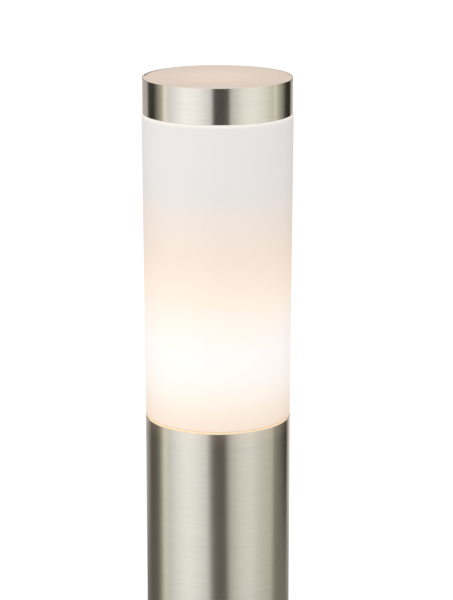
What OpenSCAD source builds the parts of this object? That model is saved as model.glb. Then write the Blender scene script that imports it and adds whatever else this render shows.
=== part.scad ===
// Bollard light: stainless steel post, opal lamp head under a steel cap, one E27 lamp inside.
// Origin at the centre of the base flange's underside, +Z up the post, front towards -Y.
// All sizes in millimetres. Screw threads are drawn plain, at their outside diameter.

/* [Overall] */
// Height from the ground to the top of the cap
total_h = 600; // [500:10:1000]
// Outer diameter of the post tube
post_d = 76.1; // [76:0.1:77]
// Wall of the post tube
post_wall = 1.2; // [1:0.1:1.5]
// Height of the lamp head above the post's rim, cap included
head_h = 179.2; // [170:0.1:190]

/* [Top cap] */
// Outer diameter of the cap
cap_d = 76.9; // [76.8:0.1:77.6]
// Height of the cap's skirt
cap_h = 18.7; // [17:0.1:22]
// Sheet thickness of the cap
cap_wall = 1; // [0.8:0.1:1.2]
// Radius of the cap's top edge
cap_edge_r = 0.7; // [0.4:0.1:1]

/* [Diffuser] */
// Outer diameter just under the cap
diffuser_top_d = 77.8; // [77:0.1:78]
// Outer diameter just above the post's rim
diffuser_bottom_d = 75.9; // [75:0.1:76.5]
// Wall thickness
diffuser_wall = 3; // [2.6:0.1:3.2]
// Radius of the diffuser's upper edge
diffuser_edge_r = 1; // [0.5:0.1:1.2]
// Thickness of the gasket between the diffuser and the post's rim
gasket_t = 0.9; // [0.7:0.1:1.2]
// Outer diameter of the spigot that enters the post
spigot_d = 66.4; // [66:0.1:66.6]
// Inner diameter of the spigot, which the lamp passes through
spigot_bore_d = 58; // [57:0.1:59]
// Depth of the spigot below the post's rim
spigot_depth = 19.3; // [18.5:0.1:20]

/* [Neck ring] */
// Inner diameter of the ring in the post's mouth
neck_bore_d = 67; // [66.8:0.1:67.2]
// Height of the ring
neck_h = 28.8; // [28:0.1:30]
// Thickness of the ledge at its foot
ledge_t = 4; // [3.5:0.1:4.5]
// Angle of each lock screw from the rear
lock_angle = 45; // [35:1:60]
// Depth of the lock screws below the post's rim
lock_depth = 15; // [14.5:0.1:15.5]

/* [Base] */
// Diameter of the base flange
flange_d = 120; // [116:1:130]
// Thickness of the base flange
flange_t = 5; // [4:0.5:8]
// Pitch circle of the fixing holes
bolt_pcd = 100; // [98:1:102]
// Diameter of a fixing hole
bolt_hole_d = 8.5; // [6.5:0.1:9]
// Number of fixing holes
bolt_count = 3; // [3:1:4]
// Diameter of the cable hole through the flange
cable_hole_d = 50; // [40:1:56]
// Bore of the rubber cable entry, for a 10 mm cable
entry_bore_d = 10.4; // [9:0.1:11]

/* [Lamp] */
// Greatest diameter of the lamp's globe
lamp_d = 55; // [45:0.5:55]
// Length of the lamp from its contact to its crown
lamp_l = 98; // [96:0.5:104]

/* [Wiring] */
// Outer diameter of a silicone lead
lead_d = 2.6; // [2.2:0.1:2.8]
// Width of one pole of the terminal block
pole_w = 10; // [9:0.5:10]

/* [Hidden] */
$fn = 96;

// Heights of the head and the post
cap_z = total_h - cap_h;
rim_z = total_h - head_h;
shoulder_z = rim_z + gasket_t;
spigot_z = rim_z - spigot_depth;
lock_z = rim_z - lock_depth;
neck_z = rim_z - neck_h;
tray_z = neck_z + ledge_t;

// Radii
post_r = post_d / 2;
post_bore_r = post_r - post_wall;
cap_r = cap_d / 2;
diffuser_top_r = diffuser_top_d / 2;
diffuser_bottom_r = diffuser_bottom_d / 2;
spigot_r = spigot_d / 2;
spigot_bore_r = spigot_bore_d / 2;
neck_bore_r = neck_bore_d / 2;
ledge_bore_r = 26;

// Closed upper end of the diffuser, inside the cap
diffuser_neck_r = cap_r - cap_wall - 0.3;
diffuser_neck_top_z = total_h - 6;
end_disc_r = diffuser_top_r - diffuser_wall;
end_disc_flange_t = 2;
end_disc_plug_t = 4;
end_disc_z = diffuser_neck_top_z - end_disc_plug_t;
end_disc_top_z = diffuser_neck_top_z + end_disc_flange_t;
cap_inside_z = total_h - cap_wall;
stud_r = 2.5;
stud_end_z = total_h - 17;
seal_washer_t = 1.5;
cap_washer_t = 1;
cap_nut_h = 5;

// Spigot O-ring
o_ring_r = 1.2;
o_ring_z = rim_z - 6.3;
o_ring_outer_r = neck_bore_r - 0.1;
o_ring_groove_w = 3;

// Lock screws
lock_r = 2;
lock_clearance = 0.05;
lock_l = 4;
lock_access_r = 2.6;

// Gear tray
tray_t = 1.5;
tray_ring_r = neck_bore_r - 0.4;
tray_ring_bore_r = 22.5;
tray_leg_x = 23.5;
tray_leg_w = 12;
tray_screw_x = 29.3;
tray_screw_r = 2;
platform_drop = 38;
platform_z = tray_z - platform_drop;
platform_front_y = -9;
platform_back_y = 13;
plate_y = 6;
plate_w = 40;
plate_h = 70;
plate_z = platform_z - tray_t - plate_h;

// Lampholder
holder_z = platform_z;
holder_h = 47;
holder_foot_r = 17;
holder_r = 20.5;
holder_top_z = holder_z + holder_h;
shell_r = 14.2;
shell_bore_r = 13.25;
shell_z = holder_z + 18;
shell_top_z = holder_top_z - 1;
pedestal_r = 8;
pedestal_top_z = holder_z + 20;
holder_screw_x = 11.5;
holder_screw_r = 2;
terminal_x = 8;
terminal_y = -13;
terminal_size = [6, 6, 8];
terminal_z = holder_z + 1;
lead_bore_r = 1.5;

// Sprung centre contact
contact_r = 3;
contact_bore_r = 3.05;
contact_z = holder_z + 13;
contact_gap = 0.3;
spring_z = holder_z + 6;
spring_wire_r = 0.35;
spring_r = 2.4;
spring_turns = 5;

// Lamp
lamp_z = holder_z + 23.5;
lamp_top_z = lamp_z + lamp_l;
lamp_r = lamp_d / 2;
lamp_centre_z = lamp_top_z - lamp_r;
lamp_seam_z = lamp_centre_z - 14;
lamp_seam_r = sqrt(pow(lamp_r, 2) - pow(lamp_centre_z - lamp_seam_z, 2));
lamp_tip_r = 4.8;
lamp_tip_t = 1.5;
lamp_cap_r = 13.1;
lamp_cap_wall = 0.6;
lamp_cap_z = lamp_z + 5.5;
lamp_cap_top_z = lamp_z + 27;
globe_wall = 1.2;

// Terminal block and cable clamp on the tray's plate
block_w = 3 * pole_w + 2;
block_d = 15;
block_h = 20;
block_z = plate_z + 33;
insert_r = 2.6;
insert_bore_r = 1.6;
insert_y = plate_y - 7.5;
clamp_z = plate_z + 8;
clamp_h = 12;
clamp_w = 30;
clamp_d = 9;
clamp_screw_x = 11;
supply_cable_r = 5;

// Earth connection on the tray's plate
earth_x = 14;
earth_z = platform_z - 10;
earth_lug_t = 0.8;
earth_barrel_r = 1.9;
earth_barrel_y = plate_y - earth_barrel_r;

// Routes of the leads, from the terminal block to their ends
lead_start_z = block_z + block_h - 5;
live_route = [
    [-pole_w, insert_y, lead_start_z], [-pole_w, insert_y, lead_start_z + 8], [-pole_w, -5, lead_start_z + 13],
    [-9, -11, lead_start_z + 18], [-terminal_x, terminal_y, lead_start_z + 23],
    [-terminal_x, terminal_y, holder_z + 5]
];
neutral_route = [for (p = live_route) [-p[0], p[1], p[2]]];
earth_route = [
    [0, insert_y, lead_start_z], [0, insert_y, lead_start_z + 7], [-1, 0, lead_start_z + 11],
    [0, 3, lead_start_z + 14], [3, earth_barrel_y, earth_z], [8, earth_barrel_y, earth_z]
];

// ---------- helpers ----------

// Points of an arc, for rounding the corner of a profile
function arc(x, y, r, from, to, n = 6) =
    [for (i = [0:n]) [x + r * cos(from + (to - from) * i / n), y + r * sin(from + (to - from) * i / n)]];

// Catmull-Rom curve through the points p, with n steps to a span
function spline_point(a, b, c, d, t) =
    0.5 * (2 * b + (c - a) * t + (2 * a - 5 * b + 4 * c - d) * t * t + (3 * b - a - 3 * c + d) * t * t * t);
function spline(p, n) = [
    for (i = [0:len(p) - 2]) for (k = [0:n - 1])
        spline_point(p[max(i - 1, 0)], p[i], p[i + 1], p[min(i + 2, len(p) - 1)], k / n),
    p[len(p) - 1]
];
function unit(v) = v / norm(v);
function direction(p, i) = unit(p[min(i + 1, len(p) - 1)] - p[max(i - 1, 0)]);

// Round tube of radius r along the path p; side is a direction that the path never follows
module tube(p, r, sides, side) {
    rings = [
        for (i = [0:len(p) - 1])
            let (t = direction(p, i), u = unit(cross(t, side)), v = cross(t, u))
            for (k = [0:sides - 1]) p[i] + r * (u * cos(360 * k / sides) + v * sin(360 * k / sides))
    ];
    walls = [
        for (i = [0:len(p) - 2]) for (k = [0:sides - 1])
            let (a = i * sides + k, b = i * sides + (k + 1) % sides)
            [a, b, b + sides, a + sides]
    ];
    last = (len(p) - 1) * sides;
    ends = [[for (k = [sides - 1:-1:0]) k], [for (k = [0:sides - 1]) last + k]];
    polyhedron(rings, concat(walls, ends), convexity = 6);
}

module revolve(profile) {
    rotate_extrude() polygon(profile);
}

// Ring between two radii, from z upwards
module ring(outer_r, inner_r, z, h) {
    revolve([[inner_r, z], [outer_r, z], [outer_r, z + h], [inner_r, z + h]]);
}

// Screw with its shank down from the origin and a domed head above it, with a hexagon socket
module button_screw(r, l, head_r, head_h, socket) {
    difference() {
        union() {
            translate([0, 0, -l]) cylinder(r = r, h = l, $fn = 32);
            rotate_extrude($fn = 48)
                polygon(concat([[0, 0], [head_r, 0], [head_r, head_h * 0.35]],
                               arc(0, head_h * 0.35, head_h * 0.65, 60, 90, 2)));
        }
        translate([0, 0, head_h * 0.25]) cylinder(d = socket / cos(30), h = head_h, $fn = 6);
    }
}

// Small cheese-head screw with its shank down from the origin and a straight slot
module slotted_screw(r, l, head_r, head_h) {
    difference() {
        union() {
            translate([0, 0, -l]) cylinder(r = r, h = l, $fn = 32);
            cylinder(r = head_r, h = head_h, $fn = 32);
        }
        translate([-head_r - 1, -head_r * 0.15, head_h * 0.5]) cube([2 * head_r + 2, head_r * 0.3, head_h]);
    }
}

module hex_nut(across_flats, h, bore_r) {
    difference() {
        cylinder(d = across_flats / cos(30), h = h, $fn = 6);
        translate([0, 0, -1]) cylinder(r = bore_r, h = h + 2, $fn = 32);
    }
}

// ---------- head ----------

module top_cap() {
    color([0.80, 0.78, 0.73]) revolve(concat(
        [[0, cap_inside_z], [cap_r - cap_wall, cap_inside_z], [cap_r - cap_wall, cap_z], [cap_r, cap_z]],
        arc(cap_r - cap_edge_r, total_h - cap_edge_r, cap_edge_r, 0, 90),
        [[0, total_h]]));
}

// Weld stud on the underside of the cap
module cap_stud() {
    flange_t = 0.8;
    color([0.72, 0.72, 0.70]) union() {
        translate([0, 0, cap_inside_z - flange_t]) cylinder(r = stud_r + 1, h = flange_t, $fn = 48);
        translate([0, 0, stud_end_z]) cylinder(r = stud_r, h = cap_inside_z - flange_t - stud_end_z, $fn = 48);
    }
}

module cap_gasket() {
    color([0.12, 0.12, 0.12]) ring(end_disc_r, 26, end_disc_top_z, cap_inside_z - end_disc_top_z);
}

// Moulded disc that closes the diffuser's upper end
module diffuser_end_disc() {
    color([0.93, 0.92, 0.90]) revolve([
        [stud_r + 0.25, end_disc_z], [end_disc_r - 0.05, end_disc_z], [end_disc_r - 0.05, diffuser_neck_top_z],
        [diffuser_neck_r, diffuser_neck_top_z], [diffuser_neck_r, end_disc_top_z],
        [stud_r + 0.25, end_disc_top_z]
    ]);
}

module cap_seal_washer() {
    color([0.15, 0.15, 0.15]) ring(7, stud_r + 0.05, end_disc_z - seal_washer_t, seal_washer_t);
}

module cap_washer() {
    color([0.72, 0.72, 0.70]) ring(5, stud_r + 0.1, end_disc_z - seal_washer_t - cap_washer_t, cap_washer_t);
}

module cap_nut() {
    color([0.72, 0.72, 0.70])
        translate([0, 0, end_disc_z - seal_washer_t - cap_washer_t - cap_nut_h]) hex_nut(8, cap_nut_h, stud_r);
}

module diffuser() {
    inner_bottom_r = diffuser_bottom_r - diffuser_wall;
    floor_z = shoulder_z + diffuser_wall;
    edge = diffuser_edge_r;
    groove_r = o_ring_outer_r - 2 * o_ring_r;
    color([0.96, 0.94, 0.90]) revolve(concat(
        [[spigot_bore_r, spigot_z], [spigot_r - 0.6, spigot_z], [spigot_r, spigot_z + 0.6]],
        [[spigot_r, o_ring_z - o_ring_groove_w / 2], [groove_r, o_ring_z - o_ring_groove_w / 2]],
        [[groove_r, o_ring_z + o_ring_groove_w / 2], [spigot_r, o_ring_z + o_ring_groove_w / 2]],
        [[spigot_r, shoulder_z], [diffuser_bottom_r - 0.4, shoulder_z], [diffuser_bottom_r, shoulder_z + 0.4]],
        arc(diffuser_top_r - edge, cap_z - edge, edge, 0, 90),
        [[diffuser_neck_r, cap_z], [diffuser_neck_r, diffuser_neck_top_z], [end_disc_r, diffuser_neck_top_z]],
        [[end_disc_r, cap_z], [inner_bottom_r, floor_z], [spigot_bore_r, floor_z - 1]]));
}

module spigot_o_ring() {
    color([0.10, 0.10, 0.10]) rotate_extrude()
        translate([o_ring_outer_r - o_ring_r, o_ring_z]) circle(r = o_ring_r, $fn = 24);
}

module diffuser_gasket() {
    color([0.95, 0.78, 0.50]) ring(diffuser_bottom_r - 0.1, spigot_r + 0.4, rim_z, gasket_t);
}

// ---------- post ----------

// Places children at a lock screw: +X is outwards along the screw, at the given side of the rear
module at_lock_screw(side) {
    rotate([0, 0, 90 + side * lock_angle]) translate([0, 0, lock_z]) children();
}

module post_tube() {
    edge = 0.2;
    color([0.76, 0.74, 0.69]) difference() {
        revolve([
            [post_bore_r, flange_t], [post_r, flange_t], [post_r, rim_z - edge], [post_r - edge, rim_z],
            [post_bore_r, rim_z]
        ]);
        for (side = [-1, 1]) at_lock_screw(side)
            translate([post_bore_r - 3, 0, 0]) rotate([0, 90, 0]) cylinder(r = lock_access_r, h = 8, $fn = 48);
    }
}

module neck_ring() {
    color([0.70, 0.71, 0.72]) difference() {
        revolve([
            [ledge_bore_r, neck_z], [post_bore_r, neck_z], [post_bore_r, rim_z], [neck_bore_r, rim_z],
            [neck_bore_r, tray_z], [ledge_bore_r, tray_z]
        ]);
        for (side = [-1, 1]) at_lock_screw(side)
            translate([neck_bore_r - 3, 0, 0]) rotate([0, 90, 0]) cylinder(r = lock_r, h = 8, $fn = 48);
        for (side = [-1, 1]) translate([side * tray_screw_x, 0, neck_z - 1])
            cylinder(r = tray_screw_r, h = ledge_t + 2, $fn = 48);
    }
}

// Set screw with a hexagon socket, flush in the post wall
module lock_screw(side) {
    color([0.55, 0.55, 0.54]) at_lock_screw(side) translate([neck_bore_r, 0, 0]) rotate([0, 90, 0]) difference() {
        cylinder(r = lock_r - lock_clearance, h = lock_l, $fn = 48);
        translate([0, 0, lock_l - 1.8]) cylinder(d = 2 / cos(30), h = 3, $fn = 6);
    }
}

module lock_screw_left() {
    lock_screw(1);
}

module lock_screw_right() {
    lock_screw(-1);
}

// ---------- gear tray ----------

module gear_tray() {
    leg_h = platform_drop + tray_t;
    color([0.78, 0.79, 0.80]) difference() {
        union() {
            ring(tray_ring_r, tray_ring_bore_r, tray_z, tray_t);
            for (side = [-1, 1]) translate([side * (tray_leg_x + tray_t / 2), 0, tray_z + tray_t - leg_h / 2])
                cube([tray_t, tray_leg_w, leg_h + tray_t], center = true);
            translate([-tray_leg_x, platform_front_y, platform_z - tray_t])
                cube([2 * tray_leg_x, platform_back_y - platform_front_y, tray_t]);
            translate([-plate_w / 2, plate_y, plate_z]) cube([plate_w, tray_t, plate_h + tray_t]);
        }
        translate([0, 0, tray_z + tray_t]) cylinder(r = tray_ring_r, h = tray_t * 2);
        for (side = [-1, 1]) {
            translate([side * tray_screw_x, 0, tray_z - 1]) cylinder(r = tray_screw_r + 0.2, h = 4, $fn = 48);
            translate([side * holder_screw_x, 0, platform_z - 3])
                cylinder(r = holder_screw_r + 0.1, h = 4, $fn = 48);
            translate([side * clamp_screw_x, plate_y - 1, clamp_z + clamp_h / 2])
                rotate([-90, 0, 0]) cylinder(r = 1.5, h = 4, $fn = 32);
            translate([side * pole_w / 2, plate_y - 1, block_z + block_h / 2])
                rotate([-90, 0, 0]) cylinder(r = 1.3, h = 4, $fn = 32);
        }
        translate([earth_x, plate_y - 1, earth_z]) rotate([-90, 0, 0]) cylinder(r = 2.1, h = 4, $fn = 48);
    }
}

module tray_screws() {
    color([0.62, 0.62, 0.60]) for (side = [-1, 1])
        translate([side * tray_screw_x, 0, tray_z + tray_t]) button_screw(tray_screw_r, tray_t + ledge_t, 3.8, 2.2, 2.5);
}

// ---------- lampholder ----------

module lampholder_body() {
    round_r = 2;
    color([0.94, 0.93, 0.90]) difference() {
        revolve(concat(
            [[contact_bore_r, spring_z], [0, spring_z], [0, holder_z], [holder_foot_r, holder_z]],
            [[holder_foot_r, holder_z + 10], [holder_r, holder_z + 16]],
            arc(holder_r - round_r, holder_top_z - round_r, round_r, 0, 90),
            [[shell_r, holder_top_z], [shell_r, shell_z], [pedestal_r, shell_z]],
            [[pedestal_r, pedestal_top_z], [contact_bore_r, pedestal_top_z]]));
        for (side = [-1, 1]) {
            translate([side * holder_screw_x, 0, holder_z - 1])
                cylinder(r = holder_screw_r + 0.1, h = shell_z - holder_z + 2, $fn = 48);
            translate([side * holder_screw_x, 0, shell_z - 6]) cylinder(d = 7.4 / cos(30), h = 8, $fn = 6);
            translate([side * terminal_x - terminal_size[0] / 2, terminal_y - 8, holder_z - 1])
                cube([terminal_size[0], 8 + terminal_size[1] / 2, terminal_size[2] + 2]);
        }
    }
}

// Threaded sleeve of the lampholder
module lampholder_shell() {
    floor_t = 0.8;
    color([0.80, 0.72, 0.50]) revolve([
        [pedestal_r + 0.2, shell_z], [shell_r, shell_z], [shell_r, shell_top_z], [shell_bore_r, shell_top_z],
        [shell_bore_r, shell_z + floor_t], [pedestal_r + 0.2, shell_z + floor_t]
    ]);
}

// The two brass wire terminals in the lampholder's foot
module lampholder_terminals() {
    color([0.80, 0.66, 0.36]) for (side = [-1, 1]) difference() {
        translate([side * terminal_x - terminal_size[0] / 2, terminal_y - terminal_size[1] / 2, terminal_z])
            cube(terminal_size);
        translate([side * terminal_x, terminal_y, terminal_z - 1]) cylinder(r = lead_bore_r, h = 6, $fn = 32);
        translate([side * terminal_x, terminal_y - 1, terminal_z + 6]) rotate([90, 0, 0])
            cylinder(r = 1.25, h = 5, $fn = 32);
    }
}

module lampholder_terminal_screws() {
    color([0.66, 0.64, 0.58]) for (side = [-1, 1])
        translate([side * terminal_x, terminal_y - terminal_size[1] / 2, terminal_z + 6])
            rotate([90, 0, 0]) slotted_screw(1.25, 2, 2, 1.2);
}

// Screws that hold the lampholder down on the tray, from below
module lampholder_screws() {
    color([0.62, 0.62, 0.60]) for (side = [-1, 1])
        translate([side * holder_screw_x, 0, platform_z - tray_t]) rotate([180, 0, 0])
            button_screw(holder_screw_r, 16, 3.6, 2.2, 2.5);
}

module lampholder_nuts() {
    color([0.66, 0.64, 0.58]) for (side = [-1, 1])
        translate([side * holder_screw_x, 0, shell_z - 6]) hex_nut(7, 3.2, holder_screw_r);
}

// Sprung plunger that meets the lamp's tip
module centre_contact() {
    h = lamp_z - contact_gap - contact_z;
    dome = 0.8;
    color([0.82, 0.70, 0.42]) revolve(concat(
        [[0, contact_z], [contact_r, contact_z]],
        arc(contact_r - dome, contact_z + h - dome, dome, 0, 90),
        [[0, contact_z + h]]));
}

module contact_spring() {
    coil_h = contact_z - spring_z - 2 * spring_wire_r - 0.1;
    steps = 16 * spring_turns;
    color([0.66, 0.66, 0.66]) tube(
        [for (i = [0:steps]) [
            spring_r * cos(360 * spring_turns * i / steps), spring_r * sin(360 * spring_turns * i / steps),
            spring_z + spring_wire_r + 0.05 + coil_h * i / steps
        ]], spring_wire_r, 8, [0, 0, 1]);
}

// ---------- lamp ----------

module lamp_globe() {
    seam = asin((lamp_seam_z - lamp_centre_z) / lamp_r);
    inner_r = lamp_r - globe_wall;
    inner_seam = asin((lamp_seam_z - lamp_centre_z) / inner_r);
    color([1.0, 0.95, 0.84]) revolve(concat(
        arc(0, lamp_centre_z, lamp_r, seam, 90, 16),
        arc(0, lamp_centre_z, inner_r, 90, inner_seam, 16)));
}

module lamp_housing() {
    neck_r = lamp_cap_r + 1;
    plug_r = lamp_cap_r - lamp_cap_wall;
    color([0.93, 0.93, 0.92]) revolve([
        [0, lamp_cap_z + 3], [plug_r, lamp_cap_z + 3], [plug_r, lamp_cap_top_z], [neck_r, lamp_cap_top_z],
        [neck_r + 0.6, lamp_cap_top_z + 4], [lamp_seam_r * 0.82, (lamp_cap_top_z + lamp_seam_z) / 2],
        [lamp_seam_r, lamp_seam_z], [0, lamp_seam_z]
    ]);
}

module lamp_screw_cap() {
    color([0.78, 0.76, 0.72]) revolve([
        [11, lamp_cap_z], [lamp_cap_r, lamp_cap_z + 1.5], [lamp_cap_r, lamp_cap_top_z],
        [lamp_cap_r - lamp_cap_wall, lamp_cap_top_z], [lamp_cap_r - lamp_cap_wall, lamp_cap_z + 2.4],
        [10.4, lamp_cap_z + 0.8], [10.4, lamp_cap_z]
    ]);
}

module lamp_insulator() {
    color([0.10, 0.10, 0.11]) revolve([
        [0, lamp_z + lamp_tip_t], [lamp_tip_r + 0.4, lamp_z + lamp_tip_t], [10.4, lamp_cap_z],
        [10.4, lamp_cap_z + 0.8], [0, lamp_cap_z + 0.8]
    ]);
}

module lamp_tip_contact() {
    color([0.75, 0.74, 0.72]) revolve(concat(
        [[0, lamp_z]], arc(lamp_tip_r - 1, lamp_z + 1, 1, -90, 0, 4),
        [[lamp_tip_r, lamp_z + lamp_tip_t], [0, lamp_z + lamp_tip_t]]));
}

// ---------- terminal block, leads and clamp ----------

module at_poles() {
    for (pole = [-1:1]) translate([pole * pole_w, insert_y, 0]) children();
}

module terminal_block() {
    color([0.90, 0.88, 0.82]) difference() {
        union() {
            translate([-block_w / 2, plate_y - block_d + 5, block_z]) cube([block_w, block_d - 5, block_h]);
            at_poles() translate([-pole_w * 0.42, -7.5, block_z + 1.5])
                cube([pole_w * 0.84, 10, block_h - 3]);
        }
        at_poles() {
            translate([0, 0, block_z - 1]) cylinder(r = insert_r + 0.05, h = block_h + 2, $fn = 48);
            for (z = [5, block_h - 5]) translate([0, -1, block_z + z]) rotate([90, 0, 0])
                cylinder(r = 2, h = 8, $fn = 32);
        }
        for (side = [-1, 1]) {
            translate([side * pole_w / 2, plate_y + 1, block_z + block_h / 2]) rotate([90, 0, 0])
                cylinder(r = 1.4, h = block_d + 2, $fn = 32);
            translate([side * pole_w / 2, plate_y - 5, block_z + block_h / 2]) rotate([90, 0, 0])
                cylinder(r = 2.2, h = block_d, $fn = 32);
        }
    }
}

module terminal_inserts() {
    color([0.80, 0.66, 0.36]) at_poles() difference() {
        translate([0, 0, block_z + 1]) cylinder(r = insert_r, h = block_h - 2, $fn = 48);
        translate([0, 0, block_z]) cylinder(r = insert_bore_r, h = block_h, $fn = 32);
        for (z = [5, block_h - 5]) translate([0, 0, block_z + z]) rotate([90, 0, 0])
            cylinder(r = 1.3, h = 5, $fn = 32);
    }
}

module terminal_clamp_screws() {
    color([0.70, 0.68, 0.62]) at_poles() for (z = [5, block_h - 5])
        translate([0, -3.2, block_z + z]) rotate([90, 0, 0]) slotted_screw(1.25, 1.3, 1.8, 1.6);
}

module terminal_fixing_screws() {
    color([0.62, 0.62, 0.60]) for (side = [-1, 1])
        translate([side * pole_w / 2, plate_y - 5, block_z + block_h / 2]) rotate([90, 0, 0])
            slotted_screw(1.25, 5 + tray_t + 1, 2.1, 1.6);
}

module live_lead() {
    color([0.45, 0.25, 0.12]) tube(spline(live_route, 5), lead_d / 2, 10, [1, 0, 0]);
}

module neutral_lead() {
    color([0.15, 0.30, 0.60]) tube(spline(neutral_route, 5), lead_d / 2, 10, [1, 0, 0]);
}

module earth_lead() {
    color([0.35, 0.55, 0.20]) tube(spline(earth_route, 5), lead_d / 2, 10, [0, 1, 0]);
}

// Crimped ring terminal on the earth lead
module earth_lug() {
    color([0.75, 0.74, 0.70]) difference() {
        union() {
            translate([earth_x, plate_y, earth_z]) rotate([90, 0, 0])
                cylinder(r = 4, h = earth_lug_t, $fn = 48);
            translate([5.5, plate_y - earth_lug_t, earth_z - 1.9]) cube([earth_x - 7.5, earth_lug_t, 3.8]);
            translate([4.5, earth_barrel_y, earth_z]) rotate([0, 90, 0])
                cylinder(r = earth_barrel_r, h = 4.8, $fn = 32);
        }
        translate([earth_x, plate_y + 1, earth_z]) rotate([90, 0, 0]) cylinder(r = 2.1, h = 4, $fn = 48);
        translate([4, earth_barrel_y, earth_z]) rotate([0, 90, 0])
            cylinder(r = lead_d / 2 + 0.05, h = 4.6, $fn = 32);
    }
}

module earth_screw() {
    color([0.80, 0.66, 0.36]) translate([earth_x, plate_y - earth_lug_t, earth_z]) rotate([90, 0, 0])
        slotted_screw(2, 7, 3.6, 2.4);
}

module earth_nut() {
    color([0.80, 0.66, 0.36]) translate([earth_x, plate_y + tray_t, earth_z]) rotate([-90, 0, 0])
        hex_nut(7, 3.2, 2);
}

// Saddle that holds the supply cable against the tray's plate
module cable_clamp() {
    color([0.88, 0.88, 0.86]) difference() {
        union() {
            translate([-clamp_w / 2, plate_y - 3, clamp_z]) cube([clamp_w, 3, clamp_h]);
            translate([0, plate_y - supply_cable_r + 1, clamp_z]) cylinder(r = supply_cable_r + 2, h = clamp_h);
            translate([-7, plate_y - supply_cable_r + 1, clamp_z]) cube([14, supply_cable_r - 1, clamp_h]);
        }
        translate([0, plate_y - supply_cable_r + 1, clamp_z - 1]) cylinder(r = supply_cable_r, h = clamp_h + 2);
        translate([-supply_cable_r, plate_y - supply_cable_r + 1, clamp_z - 1])
            cube([2 * supply_cable_r, supply_cable_r, clamp_h + 2]);
        translate([-clamp_w, plate_y, clamp_z - 1]) cube([2 * clamp_w, clamp_d, clamp_h + 2]);
        for (side = [-1, 1]) translate([side * clamp_screw_x, plate_y + 1, clamp_z + clamp_h / 2])
            rotate([90, 0, 0]) cylinder(r = 1.6, h = 6, $fn = 32);
    }
}

module cable_clamp_screws() {
    color([0.62, 0.62, 0.60]) for (side = [-1, 1])
        translate([side * clamp_screw_x, plate_y - 3, clamp_z + clamp_h / 2]) rotate([90, 0, 0])
            slotted_screw(1.45, 3 + tray_t + 1, 2.8, 1.8);
}

// ---------- base ----------

module base_flange() {
    chamfer = 0.8;
    color([0.74, 0.73, 0.69]) difference() {
        revolve([
            [cable_hole_d / 2, 0], [flange_d / 2, 0], [flange_d / 2, flange_t - chamfer],
            [flange_d / 2 - chamfer, flange_t], [cable_hole_d / 2, flange_t]
        ]);
        for (i = [0:bolt_count - 1]) rotate([0, 0, 90 + 360 * i / bolt_count])
            translate([bolt_pcd / 2, 0, -1]) cylinder(d = bolt_hole_d, h = flange_t + 2, $fn = 48);
    }
}

// Fillet weld between the post and the flange
module base_weld() {
    leg = 2.8;
    color([0.62, 0.61, 0.58]) revolve([
        [post_r, flange_t], [post_r + leg, flange_t], [post_r + leg * 0.42, flange_t + leg * 0.42],
        [post_r, flange_t + leg]
    ]);
}

// Rubber entry that closes the post's foot around the supply cable
module cable_entry_seal() {
    bore = entry_bore_d / 2;
    nozzle_h = 25;
    color([0.13, 0.13, 0.13]) revolve([
        [bore, 1], [cable_hole_d / 2 - 0.2, 1], [cable_hole_d / 2 - 0.2, flange_t],
        [post_bore_r - 0.35, flange_t], [post_bore_r - 0.35, flange_t + 3], [bore + 4, flange_t + 3],
        [bore + 1.8, flange_t + nozzle_h], [bore, flange_t + nozzle_h]
    ]);
}

top_cap();
cap_stud();
cap_gasket();
diffuser_end_disc();
cap_seal_washer();
cap_washer();
cap_nut();
diffuser();
spigot_o_ring();
diffuser_gasket();
post_tube();
neck_ring();
lock_screw_left();
lock_screw_right();
gear_tray();
tray_screws();
lampholder_body();
lampholder_shell();
lampholder_terminals();
lampholder_terminal_screws();
lampholder_screws();
lampholder_nuts();
centre_contact();
contact_spring();
lamp_globe();
lamp_housing();
lamp_screw_cap();
lamp_insulator();
lamp_tip_contact();
terminal_block();
terminal_inserts();
terminal_clamp_screws();
terminal_fixing_screws();
live_lead();
neutral_lead();
earth_lead();
earth_lug();
earth_screw();
earth_nut();
cable_clamp();
cable_clamp_screws();
base_flange();
base_weld();
cable_entry_seal();
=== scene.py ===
import math

import bmesh
import bpy
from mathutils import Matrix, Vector


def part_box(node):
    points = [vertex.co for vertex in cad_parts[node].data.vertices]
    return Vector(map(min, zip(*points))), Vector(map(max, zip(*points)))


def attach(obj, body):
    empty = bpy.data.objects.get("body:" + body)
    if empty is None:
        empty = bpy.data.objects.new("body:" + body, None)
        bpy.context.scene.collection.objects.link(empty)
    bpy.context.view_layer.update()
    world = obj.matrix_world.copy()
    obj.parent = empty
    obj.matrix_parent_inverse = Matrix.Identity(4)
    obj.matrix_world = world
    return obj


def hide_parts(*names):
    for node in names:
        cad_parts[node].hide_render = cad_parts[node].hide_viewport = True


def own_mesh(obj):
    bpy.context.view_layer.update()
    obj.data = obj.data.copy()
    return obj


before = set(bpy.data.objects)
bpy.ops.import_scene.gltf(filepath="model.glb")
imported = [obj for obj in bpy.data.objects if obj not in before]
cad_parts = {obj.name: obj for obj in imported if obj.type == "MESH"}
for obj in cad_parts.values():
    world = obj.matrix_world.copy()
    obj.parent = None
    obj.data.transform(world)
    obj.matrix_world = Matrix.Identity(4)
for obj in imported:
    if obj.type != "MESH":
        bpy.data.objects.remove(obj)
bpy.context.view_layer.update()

MM = 0.001
FULL_TURN = 2 * math.pi
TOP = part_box("top_cap")[1].z
CAP_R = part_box("top_cap")[1].x
CAP_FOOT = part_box("top_cap")[0].z
POST_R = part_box("post_tube")[1].x
# Height of the amber line, where the opal starts
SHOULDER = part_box("diffuser_gasket")[1].z


# ---------- camera, stage and light ----------

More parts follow.
